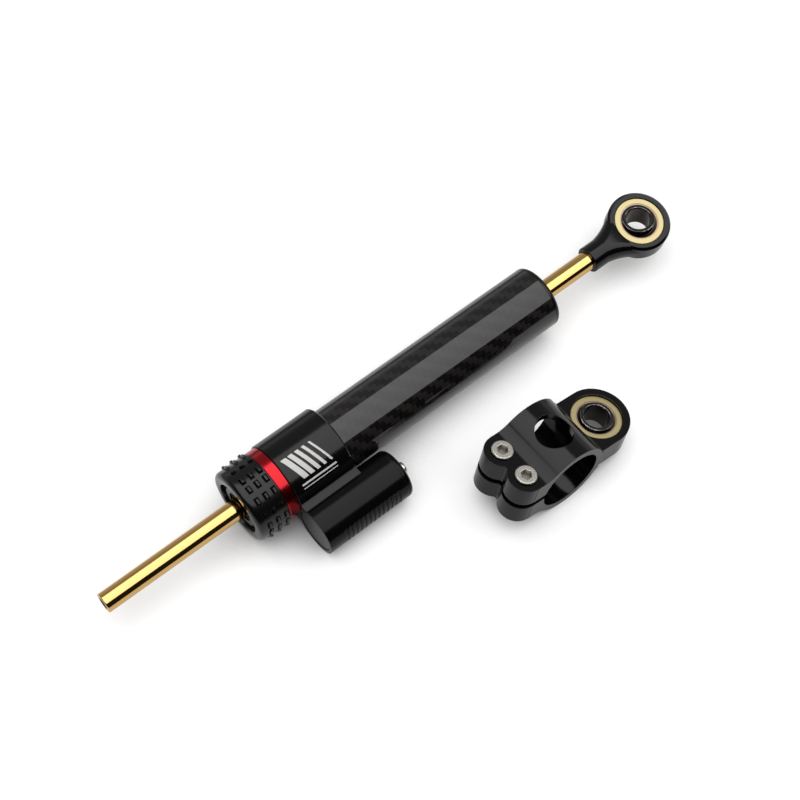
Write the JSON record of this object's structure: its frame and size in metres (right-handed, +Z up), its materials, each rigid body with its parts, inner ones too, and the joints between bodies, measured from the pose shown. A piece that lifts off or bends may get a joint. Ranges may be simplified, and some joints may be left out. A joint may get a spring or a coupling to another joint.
{
  "type": "motorcycle steering damper",
  "caption": "Linear through-rod steering damper with side reservoir, turn-knob damping adjuster, spherical rod end, and its split frame clamp lying beside it.",
  "frame": {"origin": "centre of the spherical rod end's bolt bore, on the damper's axis", "axes": "+X along the rod towards the rod end, +Z up along the rod end's bolt bore, damper lying as on a table"},
  "size_m": [0.273, 0.0844, 0.032],
  "materials": {
    "black_anodised": "black anodised, semi-gloss",
    "knob_black": "black anodised, satin",
    "red_anodised": "red anodised, bright",
    "grey_anodised": "grey-brown anodised, satin",
    "carbon_gloss": "carbon twill under clear coat",
    "gold_rod": "hollow steel rod, gold coloured nitride coat, polished",
    "gold_race": "gold coloured, satin",
    "bronze": "bronze",
    "dark_chrome": "dark polished bearing steel",
    "bright_steel": "bright stainless",
    "spring_steel": "oiled spring steel",
    "bare_aluminium": "machined",
    "black_rubber": "nitrile rubber",
    "ptfe_ring": "filled low-friction plastic"
  },
  "bodies": {
    "barrel": {"valve_head": "black_anodised", "red_ring": "red_anodised", "carbon_sleeve": "carbon_gloss", "cylinder_tube": "bare_aluminium", "rear_end_cap": "black_anodised", "front_guide_bush": "bronze", "rear_guide_bush": "bronze", "front_rod_seal": "black_rubber", "rear_rod_seal": "black_rubber", "front_wiper": "black_rubber", "rear_wiper": "black_rubber", "head_o_ring": "black_rubber", "cap_o_ring": "black_rubber", "reservoir_plug": "grey_anodised", "reservoir_cap": "black_anodised", "charge_screw": "bright_steel", "charge_screw_washer": "black_rubber", "knob_circlip": "spring_steel", "sleeve_key_pin": "spring_steel", "detent_ball": "bright_steel", "detent_spring": "spring_steel", "compensator_spring": "spring_steel"},
    "adjuster": {"adjuster_knob": "knob_black"},
    "metering_valve": {"metering_sleeve": "bronze", "metering_sleeve_o_ring": "black_rubber"},
    "compensator": {"floating_piston": "bare_aluminium", "floating_piston_o_ring": "black_rubber"},
    "piston_group": {"piston": "bare_aluminium", "piston_ring": "ptfe_ring", "piston_shims": "spring_steel"},
    "rod": {"damper_rod": "gold_rod", "piston_circlips": "spring_steel", "rod_end_housing": "black_anodised", "rod_end_race": "gold_race", "rod_end_liner": "bronze"},
    "rod_ball": {"rod_end_ball": "dark_chrome"},
    "clamp": {"clamp_body": "black_anodised", "clamp_screws": "bright_steel", "clamp_race": "gold_race", "clamp_liner": "bronze"},
    "clamp_bearing_ball": {"clamp_ball": "dark_chrome"}
  },
  "joints": [
    {"name": "rod_slide", "type": "slide", "parent": "barrel", "child": "piston_group", "axis": [1, 0, 0], "range_m": [-0.024, 0.051]},
    {"name": "rod_turn", "type": "hinge", "parent": "piston_group", "child": "rod", "pos_m": [0, 0, 0], "axis": [1, 0, 0], "continuous": true},
    {"name": "rod_end_swivel", "type": "hinge", "parent": "rod", "child": "rod_ball", "pos_m": [0, 0, 0], "axis": [1, 0, 0], "range_deg": [-1, 23]},
    {"name": "adjuster_turn", "type": "hinge", "parent": "barrel", "child": "adjuster", "pos_m": [-0.194, 0, 0], "axis": [1, 0, 0], "range_deg": [0, 300]},
    {"name": "metering_slide", "type": "slide", "parent": "barrel", "child": "metering_valve", "axis": [1, 0, 0], "range_m": [0, 0.0015]},
    {"name": "compensator_slide", "type": "slide", "parent": "barrel", "child": "compensator", "axis": [1, 0, 0], "range_m": [-0.0025, 0.004], "stiffness_N_per_m": 4600, "deforming": ["compensator_spring"]},
    {"name": "clamp_lift", "type": "slide", "parent": "barrel", "child": "clamp", "axis": [0, 0, 1], "range_m": [0, 0.03]},
    {"name": "clamp_bearing_swivel", "type": "hinge", "parent": "clamp", "child": "clamp_bearing_ball", "pos_m": [-0.07277, -0.0548, -0.00495], "axis": [0, 1, 0], "range_deg": [-12, 12]}
  ],
  "couplings": [
    {"joint": "adjuster_turn", "follows": "metering_slide", "rad_per_m": 3490.6}
  ]
}
